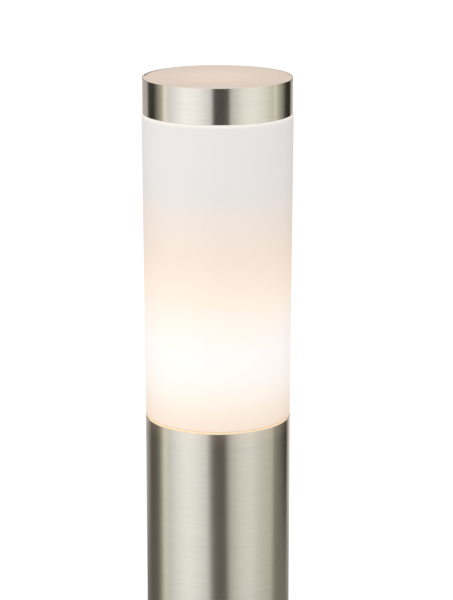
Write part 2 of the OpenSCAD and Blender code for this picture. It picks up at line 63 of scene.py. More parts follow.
def make_camera():
    """A long lens in front of the head and a little above it, looking down."""
    back, above_top, right = 1.1314, 0.1718, 0.0030
    pitch, yaw, lens = 14.355, -0.077, 134.2
    data = bpy.data.cameras.new("camera")
    data.lens = lens
    data.sensor_width = 36
    data.clip_start, data.clip_end = 0.01, 60
    camera = bpy.data.objects.new("camera", data)
    camera.location = (right, -back, TOP + above_top)
    camera.rotation_euler = (math.radians(90 - pitch), 0, math.radians(yaw))
    bpy.context.scene.collection.objects.link(camera)
    bpy.context.scene.camera = camera


def add_object(name, mesh):
    """Puts a mesh in the scene."""
    added = bpy.data.objects.new(name, mesh)
    bpy.context.scene.collection.objects.link(added)
    return added


def make_floor():
    """A plain pale floor, wide enough to be the whole background."""
    half = 20
    mesh = bpy.data.meshes.new("floor")
    corners = [(-half, -half, 0), (half, -half, 0), (half, half, 0), (-half, half, 0)]
    mesh.from_pydata(corners, [], [(0, 1, 2, 3)])
    floor = add_object("floor", mesh)
    paint = Paint("floor", base=(0.96, 0.96, 0.96), rough=0.9, specular=0.0)
    mesh.materials.append(paint.material)
    floor.visible_glossy = False


# Tints of the reflected room's walls
LEFT_BOX, RIGHT_BOX = (1.00, 0.98, 0.93), (1.00, 0.97, 0.87)
SPILL, PALE, DARK = (1.00, 0.96, 0.76), (1.00, 0.93, 0.86), (1.00, 0.91, 0.74)

# The walls by their angle from the camera, as a share of a half turn with left negative, each with a tint
# and a brightness. High up is where the cap sees them, and low down is where the post does.
HIGH_WALLS = [
    (-1.00, PALE, 0.55), (-0.75, PALE, 0.50), (-0.72, DARK, 0.06), (-0.63, DARK, 0.02),
    (-0.60, SPILL, 0.11), (-0.51, SPILL, 0.48), (-0.485, SPILL, 0.97),
    (-0.44, LEFT_BOX, 0.75), (-0.28, LEFT_BOX, 1.08), (-0.19, LEFT_BOX, 1.05), (-0.055, LEFT_BOX, 0.78),
    (-0.03, DARK, 0.04), (0.09, DARK, 0.03),
    (0.11, RIGHT_BOX, 0.55), (0.22, RIGHT_BOX, 0.90), (0.30, RIGHT_BOX, 0.95), (0.38, RIGHT_BOX, 0.88),
    (0.52, SPILL, 0.62), (0.54, SPILL, 0.84), (0.56, SPILL, 0.60), (0.70, DARK, 0.03), (0.80, DARK, 0.01),
    (0.83, PALE, 0.45), (1.00, PALE, 0.75),
]
LOW_WALLS = [
    (-1.00, PALE, 0.62), (-0.86, PALE, 0.48), (-0.73, DARK, 0.11), (-0.65, DARK, 0.13),
    (-0.60, SPILL, 0.18), (-0.55, SPILL, 0.52), (-0.52, SPILL, 0.94),
    (-0.47, LEFT_BOX, 0.71), (-0.38, LEFT_BOX, 0.97), (-0.28, LEFT_BOX, 1.10), (-0.20, LEFT_BOX, 1.02),
    (-0.095, LEFT_BOX, 0.75),
    (-0.065, DARK, 0.13), (0.058, DARK, 0.13),
    (0.09, RIGHT_BOX, 0.57), (0.20, RIGHT_BOX, 0.83), (0.30, RIGHT_BOX, 0.88), (0.38, RIGHT_BOX, 0.71),
    (0.535, SPILL, 0.60), (0.55, SPILL, 0.30), (0.70, DARK, 0.09), (0.79, DARK, 0.01),
    (0.815, PALE, 0.45), (1.00, PALE, 1.15),
]


def room_walls():
    """Softboxes either side of the camera, a dark gap at the camera, dark corners behind the softboxes and
    a pale wall at the back. From the sides to the back the walls are dull near the ground. A dark seam runs
    round the back at the cap's height, and all is evenly warm and bright above that."""
    # The low walls lean to the left as they rise, and stand a little to the right of the camera
    lean, aside = 0.3, 0.027
    low_end, high_start = 0.14, 0.36
    dull_left, dull_right, most_dull, dull_half = (0.15, 0.14, 0.12), (0.29, 0.28, 0.23), 0.85, 0.07
    upper, upper_start, drop_behind, fade = (1.03, 0.88, 0.775), TOP + 0.14, 0.12, 0.08
    seam_colour, seam_middle, seam_half = (0.05, 0.045, 0.04), TOP - 0.01, 0.09

    paint = Paint("reflected_room", plain=True)
    x, y, z = paint.split(paint.position())
    to_front = paint.math("MULTIPLY", y, -1.0)
    turn = paint.math("ARCTAN2", x, to_front)
    leaning_x = paint.math("MULTIPLY_ADD", z, lean, paint.math("SUBTRACT", x, aside))
    high_walls = paint.around(turn, HIGH_WALLS)
    low_walls = paint.around(paint.math("ARCTAN2", leaning_x, to_front), LOW_WALLS)

    off_centre = paint.math("ABSOLUTE", turn)
    past_sides = paint.smooth(off_centre, math.radians(106), math.radians(124))
    near_ground = paint.smooth(z, -dull_half, dull_half, most_dull, 0.0)
    dull = paint.mix(paint.math("GREATER_THAN", turn, 0.0), dull_left, dull_right)
    low_walls = paint.mix(paint.math("MULTIPLY", past_sides, near_ground), low_walls, dull)
    walls = paint.mix(paint.smooth(z, low_end, high_start), low_walls, high_walls)

    behind = paint.smooth(off_centre, math.radians(100), math.radians(140))
    upper_edge = paint.math("MULTIPLY_ADD", behind, -drop_behind, upper_start)
    above = paint.smooth(paint.math("SUBTRACT", z, upper_edge), 0.0, fade)
    walls = paint.mix(above, walls, upper)
    seam = paint.math("MULTIPLY", behind, paint.math("COMPARE", z, seam_middle, seam_half))
    paint.emit(paint.mix(seam, walls, seam_colour), 1.0)
    paint.material.cycles.emission_sampling = "NONE"
    return paint.material


def make_reflected_room():
    """A glowing drum round the object, which only reflections see."""
    radius, low, high, sides = 1.0, -1.5, 3.0, 96
    mesh = bpy.data.meshes.new("reflected_room")
    bm = bmesh.new()
    rings = [[bm.verts.new((*at_angle(radius, FULL_TURN * k / sides), z)) for k in range(sides)]
             for z in (low, high)]
    for k in range(sides):
        n = (k + 1) % sides
        bm.faces.new((rings[0][k], rings[0][n], rings[1][n], rings[1][k]))
    bm.to_mesh(mesh)
    bm.free()
    room = add_object("reflected_room", mesh)
    mesh.materials.append(room_walls())
    room.visible_camera = False
    room.visible_diffuse = False
    room.visible_transmission = False
    room.visible_volume_scatter = False
    room.visible_shadow = False


def make_light():
    """Even white surroundings and one large soft light from the left, shown without a tone curve."""
    world = bpy.data.worlds.new("surroundings")
    world.use_nodes = True
    background = world.node_tree.nodes["Background"]
    background.inputs["Color"].default_value = (1, 1, 1, 1)
    background.inputs["Strength"].default_value = 1.08
    bpy.context.scene.world = world

    data = bpy.data.lights.new("softbox", "AREA")
    data.shape = "RECTANGLE"
    data.size, data.size_y = 1.2, 1.6
    data.energy = 6
    data.color = (1.0, 0.98, 0.95)
    softbox = bpy.data.objects.new("softbox", data)
    softbox.location = (-1.7, -1.6, 1.5)
    aim = Vector((0, 0, TOP * 0.7)) - softbox.location
    softbox.rotation_euler = aim.to_track_quat("-Z", "Y").to_euler()
    softbox.visible_glossy = False
    softbox.visible_camera = False
    bpy.context.scene.collection.objects.link(softbox)
    bpy.context.scene.view_settings.view_transform = "Standard"


# ---------- materials ----------

class Paint:
    """One procedural material, with short names for the nodes that it uses."""

    def __init__(self, name, base=(0.8, 0.8, 0.8), rough=0.5, metal=0.0, specular=0.5, plain=False):
        """A plain paint has no shader yet, and is for emit()."""
        self.material = bpy.data.materials.new(name)
        self.material.use_nodes = True
        self.tree = self.material.node_tree
        self.shader = self.tree.nodes["Principled BSDF"]
        if plain:
            self.tree.nodes.remove(self.shader)
            self.shader = None
            return
        self.set(**{"Base Color": (*base, 1), "Roughness": rough, "Metallic": metal,
                    "Specular IOR Level": specular})

    def set(self, **values):
        """Gives the shader's inputs their values or links."""
        self.feed(self.shader, values)

    def feed(self, node, inputs):
        """Links each input that is given a socket, sets each that is given a value and leaves the rest."""
        for key, value in inputs.items():
            if isinstance(value, bpy.types.NodeSocket):
                self.tree.links.new(value, node.inputs[key])
            elif value is not None:
                node.inputs[key].default_value = value

    def position(self):
        """The piece's own coordinates, in metres, which are the object's."""
        return self.tree.nodes.new("ShaderNodeTexCoord").outputs["Object"]

    def normal(self):
        """The surface's direction in the piece's own axes."""
        return self.tree.nodes.new("ShaderNodeTexCoord").outputs["Normal"]

    def split(self, vector):
        """The vector's x, y and z."""
        node = self.tree.nodes.new("ShaderNodeSeparateXYZ")
        self.feed(node, {0: vector})
        return node.outputs[0], node.outputs[1], node.outputs[2]

    def scaled(self, vector, factors):
        """The vector times a factor for each axis."""
        node = self.tree.nodes.new("ShaderNodeVectorMath")
        node.operation = "MULTIPLY"
        self.feed(node, {0: vector, 1: factors})
        return node.outputs[0]

    def math(self, operation, a, b=None, c=None):
        """One step of arithmetic."""
        node = self.tree.nodes.new("ShaderNodeMath")
        node.operation = operation
        self.feed(node, {0: a, 1: b, 2: c})
        return node.outputs[0]

    def radius(self, x, y):
        """Distance from the post's axis."""
        square = self.math("MULTIPLY_ADD", x, x, self.math("MULTIPLY", y, y))
        return self.math("SQRT", square)

    def map_range(self, interpolation, value, low, high, to_low, to_high):
        """Goes from to_low to to_high as value goes from low to high, and stops at both."""
        node = self.tree.nodes.new("ShaderNodeMapRange")
        node.interpolation_type = interpolation
        self.feed(node, {"Value": value, "From Min": low, "From Max": high,
                         "To Min": to_low, "To Max": to_high})
        return node.outputs["Result"]

    def smooth(self, value, low, high, to_low=0.0, to_high=1.0):
        """A step with soft ends."""
        return self.map_range("SMOOTHSTEP", value, low, high, to_low, to_high)

    def spread(self, value, to_low, to_high, low=0.3, high=0.7):
        """A noise's useful span, stretched onto another."""
        return self.map_range("LINEAR", value, low, high, to_low, to_high)

    def noise(self, vector, scale=1.0, detail=2.0, roughness=0.5):
        """Cloudy noise, mostly between 0.3 and 0.7."""
        node = self.tree.nodes.new("ShaderNodeTexNoise")
        self.feed(node, {"Vector": vector, "Scale": scale, "Detail": detail, "Roughness": roughness})
        return node.outputs[0]

    def cells(self, vector, scale):
        """Flakes, each with its own random colour."""
        node = self.tree.nodes.new("ShaderNodeTexVoronoi")
        self.feed(node, {"Vector": vector, "Scale": scale})
        return node.outputs["Color"]

    def mix(self, factor, a, b):
        """From colour a to colour b as factor goes from 0 to 1."""
        first_colour, second_colour, mixed_colour = 6, 7, 2
        node = self.tree.nodes.new("ShaderNodeMix")
        node.data_type = "RGBA"
        a = (*a, 1) if isinstance(a, tuple) else a
        b = (*b, 1) if isinstance(b, tuple) else b
        self.feed(node, {0: factor, first_colour: a, second_colour: b})
        return node.outputs[mixed_colour]

    def ramp(self, factor, stops):
        """Colours by a factor from 0 to 1; stops are pairs of a factor and its colour."""
        node = self.tree.nodes.new("ShaderNodeValToRGB")
        elements = node.color_ramp.elements
        elements[0].position, elements[0].color = stops[0][0], (*stops[0][1], 1)
        elements[1].position, elements[1].color = stops[-1][0], (*stops[-1][1], 1)
        for at, colour in stops[1:-1]:
            elements.new(at).color = (*colour, 1)
        self.feed(node, {0: factor})
        return node.outputs[0]

    def around(self, turn, stops):
        """A ramp over a whole turn: -1 at the back, by way of the left to 0 at the front, and by way of the
        right to 1 at the back."""
        share = self.math("MULTIPLY_ADD", turn, 1 / FULL_TURN, 0.5)
        return self.ramp(share, [(0.5 + 0.5 * at, [bright * c for c in tint]) for at, tint, bright in stops])

    def bump(self, height, distance, strength):
        """Raises the surface in its shading only."""
        node = self.tree.nodes.new("ShaderNodeBump")
        self.feed(node, {"Height": height, "Distance": distance, "Strength": strength})
        self.set(Normal=node.outputs[0])

    def emit(self, colour, strength):
        """Makes the whole surface a light of this colour."""
        node = self.tree.nodes.new("ShaderNodeEmission")
        self.feed(node, {"Color": colour, "Strength": strength})
        self.tree.links.new(node.outputs[0], self.tree.nodes["Material Output"].inputs["Surface"])


def painted_edge_reflection(paint, x, y, z, from_axis):
    """How much painted dark reflection the cap's rounded edge gets: a trace all round, and most at the sides
    and just behind.
    """
    all_round, left, right, far_behind = 0.07, 0.93, 0.35, 0.2
    edge_height = paint.smooth(z, TOP - 0.9 * MM, TOP - 0.5 * MM)
    edge = paint.math("MULTIPLY", edge_height, paint.smooth(from_axis, CAP_R - 2.2 * MM, CAP_R - 1.7 * MM))
    rearward = paint.math("DIVIDE", y, CAP_R)
    past_side = paint.smooth(rearward, -0.04, 0.08)
    sides = paint.math("MULTIPLY", past_side, paint.smooth(rearward, 0.5, 0.85, 1.0, far_behind))
    sides = paint.math("MULTIPLY", sides, paint.smooth(x, -0.5 * CAP_R, 0.5 * CAP_R, left, right))
    return paint.math("MULTIPLY", edge, paint.math("ADD", sides, all_round))


def brushed_stainless(name, tone, rough, painted_shade_and_glow=False):
    """Stainless steel brushed round the post: fine level scratches, faint bands and handling marks. The
    flat top of the cap has painted shade that grows towards its edge, and a painted dark reflection on
    its rounded edge. On the post and the flange, painted shade darkens the steel towards the ground, in
    patches, where it is also a little rougher, and a painted warm glow of the diffuser's light shows at
    the post's rim."""
    # How fine each layer of noise is across the post and up it
    hair_grain, band_grain, mark_grain = (90, 90, 3200), (10, 10, 260), (26, 26, 18)
    contrast, band_share, hair_rough = 0.035, 0.3, 0.008
    # Colours and strengths of the painted shade on the cap's flat top and low on the post, and of the
    # painted dark reflection on the cap's edge
    shadow, edge_reflection_colour, low_shade_colour = (0.34, 0.31, 0.29), (0.03, 0.025, 0.02), (0.26, 0.245, 0.22)
    most_shadow, most_low_shade, low_shade_rough, low_shade_bottom, low_shade_top = 0.22, 0.36, 0.25, 0.10, 0.43

    paint = Paint(name, rough=rough, metal=1.0)
    place = paint.position()
    x, y, z = paint.split(place)
    hair = paint.noise(paint.scaled(place, hair_grain), detail=3, roughness=0.7)
    band = paint.noise(paint.scaled(place, band_grain), detail=2)
    marks = paint.noise(paint.scaled(place, mark_grain), detail=4, roughness=0.6)
    shade = paint.math("MULTIPLY_ADD", paint.math("SUBTRACT", band, 0.5), band_share, hair)
    dark = tuple((1 - contrast) * c for c in tone)
    light = tuple((1 + contrast) * c for c in tone)
    steel = paint.mix(paint.spread(shade, 0, 1), dark, light)
    from_axis = paint.radius(x, y)
    flat = paint.math("GREATER_THAN", paint.split(paint.normal())[2], 0.9)
    shaded = paint.math("MULTIPLY", paint.smooth(from_axis, 0.1 * CAP_R, CAP_R, 0.0, most_shadow), flat)
    steel = paint.mix(shaded, steel, shadow)
    # Painted reflection: a dark line on the cap's rounded edge, darkest at the left just behind the side
    steel = paint.mix(painted_edge_reflection(paint, x, y, z, from_axis), steel, edge_reflection_colour)
    scratched = paint.spread(hair, rough - hair_rough, rough + hair_rough)
    roughness = paint.math("ADD", scratched, paint.spread(marks, -0.012, 0.02))
    if painted_shade_and_glow:
        # Painted shade: the steel darker towards the ground, in patches, with the roughness a little higher
        # there
        low_shade = paint.smooth(z, low_shade_bottom, low_shade_top, most_low_shade, 0.0)
        patchy_shade = paint.math("MULTIPLY", low_shade, paint.spread(marks, 0.8, 1.2))
        steel = paint.mix(patchy_shade, steel, low_shade_colour)
        roughness = paint.math("MULTIPLY_ADD", patchy_shade, low_shade_rough, roughness)
        # Painted glow: the diffuser's warm light painted as emission on the post's top ten millimetres
        near_rim = paint.smooth(z, SHOULDER - 10 * MM, SHOULDER - 1 * MM)
        lit = paint.mix(near_rim, (0.0, 0.0, 0.0), (0.045, 0.026, 0.018))
        paint.set(**{"Emission Color": lit, "Emission Strength": 1.0})
    paint.set(**{"Base Color": steel, "Roughness": roughness,
                 "Anisotropic": 0.8, "Anisotropic Rotation": 0.25})
    tangent = paint.tree.nodes.new("ShaderNodeTangent")
    tangent.direction_type, tangent.axis = "RADIAL", "Z"
    paint.set(Tangent=paint.mix(flat, tangent.outputs[0], (1.0, 0.0, 0.0)))
    paint.bump(hair, 0.00001, 0.12)
    return paint.material


def lit_opal():
    """Opal polycarbonate with the lamp glowing through its lower half, whose colour also has the lamp's
    warm light painted in, and a faint painted glow along its edge under the cap.
    """
    paint = Paint("opal_diffuser", rough=0.42, specular=0.25)
    place = paint.position()
    z = paint.split(place)[2]
    # Share of the opal's height, from 0 under the cap to 1 at the post
    share = paint.math("DIVIDE", paint.math("SUBTRACT", z, CAP_FOOT), SHOULDER - CAP_FOOT)
    # The first stop is a painted glow along the top edge, just under the cap
    glow = paint.ramp(share, [
        (0.00, (0.20, 0.15, 0.12)), (0.014, (0.0, 0.0, 0.0)), (0.22, (0.0, 0.0, 0.0)),
        (0.31, (0.07, 0.03, 0.01)), (0.40, (0.13, 0.07, 0.05)),
        (0.50, (0.21, 0.13, 0.10)), (0.57, (0.24, 0.18, 0.15)), (0.65, (0.26, 0.24, 0.24)),
        (0.75, (0.27, 0.27, 0.33)), (0.84, (0.26, 0.25, 0.29)), (0.89, (0.24, 0.22, 0.22)),
        (0.94, (0.21, 0.16, 0.13)), (0.97, (0.20, 0.12, 0.09)), (1.00, (0.17, 0.08, 0.04))])
    # Painted light: the opal's colour turns warmer lower down, where the lamp shines through it
    cool, warm = (0.735, 0.708, 0.690), (0.70, 0.635, 0.555)
    body = paint.mix(paint.smooth(share, 0.18, 0.48), cool, warm)
    cloud = paint.noise(place, scale=40, detail=2)
    base = paint.mix(paint.spread(cloud, 0.0, 0.06), body, (0.60, 0.58, 0.56))
    fine = paint.noise(place, scale=900, detail=2)
    paint.set(**{"Base Color": base, "Emission Color": glow, "Emission Strength": 1.0,
                 "Roughness": paint.spread(fine, 0.40, 0.48)})
    paint.bump(fine, 0.00003, 0.15)
    return paint.material


def glowing_gasket():
    """Translucent silicone, warm with the light that leaks through it."""
    paint = Paint("amber_gasket", rough=0.45)
    fine = paint.noise(paint.position(), scale=500, detail=2)
    base = paint.mix(paint.spread(fine, 0, 1), (0.81, 0.63, 0.41), (0.85, 0.68, 0.46))
    glow = paint.mix(paint.spread(fine, 0, 1), (0.09, 0.07, 0.03), (0.12, 0.09, 0.05))
    paint.set(**{"Base Color": base, "Emission Color": glow, "Emission Strength": 1.0})
    paint.bump(fine, 0.00003, 0.3)
    return paint.material


def finish(name, dark, light, grain, rough, metal=0.0, specular=0.5, coat=0.0, relief=0.00002, strength=0.3,
           uneven=0.05):
    """A worked surface: fine grain over broad patches, in colour, roughness and relief."""
    broader = 0.11
    paint = Paint(name, metal=metal, specular=specular)
    place = paint.position()
    fine = paint.noise(place, scale=grain, detail=3, roughness=0.6)
    broad = paint.noise(place, scale=grain * broader, detail=3)
    both = paint.math("MULTIPLY_ADD", fine, 0.5, paint.math("MULTIPLY", broad, 0.5))
    paint.set(**{"Base Color": paint.mix(paint.spread(both, 0, 1, 0.35, 0.65), dark, light),
                 "Roughness": paint.spread(both, rough - uneven, rough + uneven, 0.35, 0.65),
                 "Coat Weight": coat, "Coat Roughness": 0.08})
    paint.bump(fine, relief, strength)
    return paint.material


def galvanised():
    """Zinc-plated sheet with the frosty flakes of its spangle."""
    paint = Paint("galvanised_sheet", metal=1.0)
    place = paint.position()
    flakes = paint.split(paint.cells(place, 260))[0]
    fine = paint.noise(place, scale=1400, detail=2)
    base = paint.mix(flakes, (0.56, 0.57, 0.58), (0.74, 0.76, 0.77))
    rough = paint.math("ADD", paint.spread(flakes, 0.34, 0.48, 0, 1), paint.spread(fine, -0.02, 0.02))
    paint.set(**{"Base Color": base, "Roughness": rough})
    paint.bump(paint.math("ADD", flakes, fine), 0.00001, 0.25)
    return paint.material


def lit_globe():
    """Opal glass of a lamp that is on: brightest at its crown, warmer towards its seam."""
    low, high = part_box("lamp_globe")[0].z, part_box("lamp_globe")[1].z
    paint = Paint("lamp_opal", rough=0.25, specular=0.5)
    place = paint.position()
    # Share of the globe's height, from 0 at its seam to 1 at its crown
    share = paint.math("DIVIDE", paint.math("SUBTRACT", paint.split(place)[2], low), high - low)
    cloud = paint.noise(place, scale=120, detail=2)
    glow = paint.ramp(share, [
        (0.0, (0.06, 0.03, 0.01)), (0.35, (0.20, 0.15, 0.09)), (1.0, (0.34, 0.29, 0.20))])
    base = paint.mix(paint.spread(cloud, 0, 1), (0.66, 0.60, 0.51), (0.70, 0.64, 0.55))
    paint.set(**{"Base Color": base, "Emission Color": glow, "Emission Strength": 1.0,
                 "Roughness": paint.spread(cloud, 0.22, 0.30)})
    return paint.material


# The finish of each node; pieces that replace a node take it too
FINISHES = {
    "stainless_post": ["post_tube"],
    "stainless_cap": ["top_cap"],
    "stainless_flange": ["base_flange"],
    "opal_diffuser": ["diffuser"],
    "white_plastic": ["diffuser_end_disc", "lamp_housing"],
    "amber_gasket": ["diffuser_gasket"],
    "black_rubber": ["cap_gasket", "cap_seal_washer", "spigot_o_ring", "cable_entry_seal"],
    "cast_ring": ["neck_ring"],
    "stainless_fastener": ["cap_stud", "cap_washer", "cap_nut", "tray_screws", "lampholder_screws",
                           "terminal_fixing_screws", "cable_clamp_screws"],
    "dark_screw": ["lock_screw_left", "lock_screw_right"],
    "galvanised_sheet": ["gear_tray"],
    "porcelain": ["lampholder_body"],
    "nickelled_brass": ["lampholder_shell", "lampholder_terminal_screws", "lampholder_nuts",
                        "terminal_clamp_screws", "lamp_screw_cap"],
    "brass": ["lampholder_terminals", "centre_contact", "terminal_inserts", "earth_screw", "earth_nut"],
    "spring_steel": ["contact_spring"],
    "lamp_opal": ["lamp_globe"],
    "lamp_insulator": ["lamp_insulator"],
    "tinned_contact": ["lamp_tip_contact", "earth_lug"],
    "terminal_plastic": ["terminal_block"],
    "clamp_plastic": ["cable_clamp"],
    "lead_brown": ["live_lead"],
    "lead_blue": ["neutral_lead"],
    "lead_earth": ["earth_lead"],
    "weld": ["base_weld"],
}


# The worked surfaces: the grain's dark and light colours, its fineness, the roughness and what else differs
WORKED = {
    "white_plastic": dict(dark=(0.80, 0.79, 0.77), light=(0.86, 0.85, 0.83), grain=900, rough=0.42),
    "black_rubber": dict(dark=(0.018, 0.018, 0.019), light=(0.035, 0.034, 0.033), grain=1600, rough=0.62,
                         specular=0.35, strength=0.5),
    "cast_ring": dict(dark=(0.46, 0.465, 0.47), light=(0.62, 0.625, 0.63), grain=700, rough=0.46, metal=1.0,
                      relief=0.00006, strength=0.6),
    "stainless_fastener": dict(dark=(0.60, 0.59, 0.57), light=(0.74, 0.73, 0.71), grain=1800, rough=0.28,
                               metal=1.0),
    "dark_screw": dict(dark=(0.20, 0.20, 0.20), light=(0.32, 0.32, 0.315), grain=1800, rough=0.36,
                       metal=1.0),
    "porcelain": dict(dark=(0.82, 0.80, 0.76), light=(0.88, 0.865, 0.83), grain=300, rough=0.20, coat=0.8,
                      strength=0.15),
    "nickelled_brass": dict(dark=(0.66, 0.62, 0.53), light=(0.78, 0.74, 0.65), grain=1500, rough=0.24,
                            metal=1.0),
    "brass": dict(dark=(0.66, 0.47, 0.20), light=(0.83, 0.62, 0.31), grain=1400, rough=0.27, metal=1.0),
    "spring_steel": dict(dark=(0.50, 0.50, 0.49), light=(0.64, 0.64, 0.63), grain=3000, rough=0.30,
                         metal=1.0),
    "lamp_insulator": dict(dark=(0.012, 0.012, 0.014), light=(0.030, 0.028, 0.030), grain=900, rough=0.18,
                           coat=0.4),
    "tinned_contact": dict(dark=(0.62, 0.62, 0.61), light=(0.76, 0.76, 0.75), grain=1600, rough=0.34,
                           metal=1.0),
    "terminal_plastic": dict(dark=(0.74, 0.71, 0.62), light=(0.80, 0.77, 0.69), grain=1300, rough=0.48,
                             strength=0.4),
    "clamp_plastic": dict(dark=(0.68, 0.68, 0.66), light=(0.75, 0.75, 0.73), grain=1300, rough=0.50,
                          strength=0.4),
    "lead_brown": dict(dark=(0.13, 0.048, 0.018), light=(0.19, 0.075, 0.030), grain=1100, rough=0.46),
    "lead_blue": dict(dark=(0.010, 0.055, 0.23), light=(0.020, 0.085, 0.33), grain=1100, rough=0.46),
    "lead_earth": dict(dark=(0.030, 0.20, 0.035), light=(0.050, 0.28, 0.055), grain=1100, rough=0.46),
    "lead_yellow": dict(dark=(0.62, 0.48, 0.03), light=(0.74, 0.60, 0.06), grain=1100, rough=0.46),
    "weld": dict(dark=(0.42, 0.37, 0.32), light=(0.66, 0.64, 0.61), grain=520, rough=0.36, metal=1.0,
                 relief=0.00005, strength=0.5, uneven=0.10),
}


def make_materials():
    """Every material, by its name."""
    materials = {name: finish(name, **look) for name, look in WORKED.items()}
    post_tone, cap_tone, flange_tone = (0.72, 0.71, 0.675), (0.81, 0.795, 0.765), (0.70, 0.69, 0.66)
    materials["stainless_post"] = brushed_stainless("stainless_post", post_tone, 0.215, painted_shade_and_glow=True)
    materials["stainless_cap"] = brushed_stainless("stainless_cap", cap_tone, 0.185)
    materials["stainless_flange"] = brushed_stainless("stainless_flange", flange_tone, 0.32, painted_shade_and_glow=True)
    materials["opal_diffuser"] = lit_opal()
    materials["amber_gasket"] = glowing_gasket()
    materials["galvanised_sheet"] = galvanised()
    materials["lamp_opal"] = lit_globe()
    return materials


def set_material(node, material):
    """Gives all of a node one material."""
    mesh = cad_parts[node].data
    if not mesh.materials:
        mesh.materials.append(material)
    for i in range(len(mesh.materials)):
        mesh.materials[i] = material


def finish_of(node):
    """The name of a node's material."""
    return next(name for name, nodes in FINISHES.items() if node in nodes)


# ---------- pieces with more shape than the CAD solids ----------

# Rolled thread of an E27 lamp and its holder
LAMP_PITCH = 3.62 * MM
# How finely the shell threads and the cut threads are drawn
SHELL_SIDES, SHELL_ROWS_PER_PITCH = 96, 9
CUT_SIDES, CUT_ROWS_PER_PITCH = 48, 6


def at_angle(radius, angle):
    """A point's x and y."""
    return radius * math.cos(angle), radius * math.sin(angle)


def loft(name, rings, loop=False):
    """A closed surface through rings of equally many points. A loop joins the last ring to the first, and
    otherwise each end closes on its ring's middle."""
    mesh = bpy.data.meshes.new(name)
    bm = bmesh.new()
    placed = [[bm.verts.new(p) for p in ring] for ring in rings]
    count = len(rings[0])
    spans = list(zip(placed, placed[1:]))
    if loop:
        spans.append((placed[-1], placed[0]))
    for lower, upper in spans:
        for k in range(count):
            n = (k + 1) % count
            bm.faces.new((lower[k], lower[n], upper[n], upper[k]))
    if not loop:
        for ring in (placed[0], placed[-1]):
            middle = bm.verts.new(sum((v.co for v in ring), Vector()) / count)
            for k in range(count):
                bm.faces.new((ring[k], middle, ring[(k + 1) % count]))
    bmesh.ops.recalc_face_normals(bm, faces=bm.faces)
    bm.to_mesh(mesh)
    bm.free()
    mesh.shade_smooth()
    mesh.set_sharp_from_angle(angle=math.radians(38))
    return add_object(name, mesh)


def stand_in_for(piece, node, body):
    """Puts a detailed piece in place of a node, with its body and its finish."""
    material_name = finish_of(node)
    piece.data.materials.append(MATERIALS[material_name])
    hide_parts(node)
    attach(piece, body)


def turned(radius, z, sides):
    """One ring about the post's axis; radius is a length, or a function of the angle."""
    angles = [FULL_TURN * k / sides for k in range(sides)]
    return [(*at_angle(radius(a) if callable(radius) else radius, a), z) for a in angles]


def steps(low, high, count):
    """The ends and the steps between them."""
    return [low + (high - low) * i / count for i in range(count + 1)]


def rounded_thread(angle, z, pitch):
    """From 0 in the groove to 1 on the crest of a rolled thread, right-handed."""
    return 0.5 - 0.5 * math.cos(FULL_TURN * z / pitch - angle)


def eased(value):
    """From 0 to 1 with soft ends, and level beyond."""
    value = min(max(value, 0.0), 1.0)
    return value * value * (3 - 2 * value)


def shell_rows(low, high):
    """The heights at which a shell thread is drawn."""
    return steps(low.z, high.z, round((high.z - low.z) / (LAMP_PITCH / SHELL_ROWS_PER_PITCH)))


def plain_ends(low, high, z):
    """From 0 at either end of a shell thread to 1 a pitch inside it."""
    return eased((z - low.z) / LAMP_PITCH) * eased((high.z - z) / LAMP_PITCH)


def make_lamp_screw_cap():
    """E27 screw cap of the lamp: its crest is the CAD's radius, and it narrows to the insulator below."""
    low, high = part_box("lamp_screw_cap")
    depth, wall, lip, insulator_r = 0.85 * MM, 0.35 * MM, 1.5 * MM, 11 * MM
    rows = shell_rows(low, high)

    def outer(angle, z):
        """Radius outside; the cap narrows over its lowest stretch."""
        taper = min(1.0, (z - low.z) / lip)
        groove = (1 - rounded_thread(angle, z, LAMP_PITCH)) * plain_ends(low, high, z)
        return insulator_r + (high.x - insulator_r) * taper - depth * groove

    outside = [turned(lambda a, z=z: outer(a, z), z, SHELL_SIDES) for z in rows]
    inside = [turned(lambda a, z=z: outer(a, z) - wall, z, SHELL_SIDES) for z in reversed(rows)]
    stand_in_for(loft("lamp_thread", outside + inside, loop=True), "lamp_screw_cap", "lamp")


def make_lampholder_shell():
    """Threaded sleeve of the lampholder, with its crests facing in, on a flat foot."""
    low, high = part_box("lampholder_shell")
    bore, depth, wall, foot_t, foot_bore = 13.25 * MM, 0.6 * MM, 0.3 * MM, 0.8 * MM, 8.2 * MM
    rows = shell_rows(low, high)
    foot_top = low.z + foot_t

    def inner(angle, z):
        """Radius of the threaded bore."""
        return bore + depth * rounded_thread(angle, z, LAMP_PITCH) * plain_ends(low, high, z)

    def outer(angle, z):
        """Radius outside, never past the CAD's."""
        return min(inner(angle, z) + wall, high.x)

    outside = [turned(lambda a, z=z: outer(a, z), z, SHELL_SIDES) for z in rows]
    inside = [turned(lambda a, z=z: inner(a, z), z, SHELL_SIDES) for z in reversed(rows) if z > foot_top]
    corners = ((bore, foot_top), (foot_bore, foot_top), (foot_bore, low.z))
    foot = [turned(r, z, SHELL_SIDES) for r, z in corners]
    piece = loft("lampholder_thread", outside + inside + foot, loop=True)
    stand_in_for(piece, "lampholder_shell", "post")


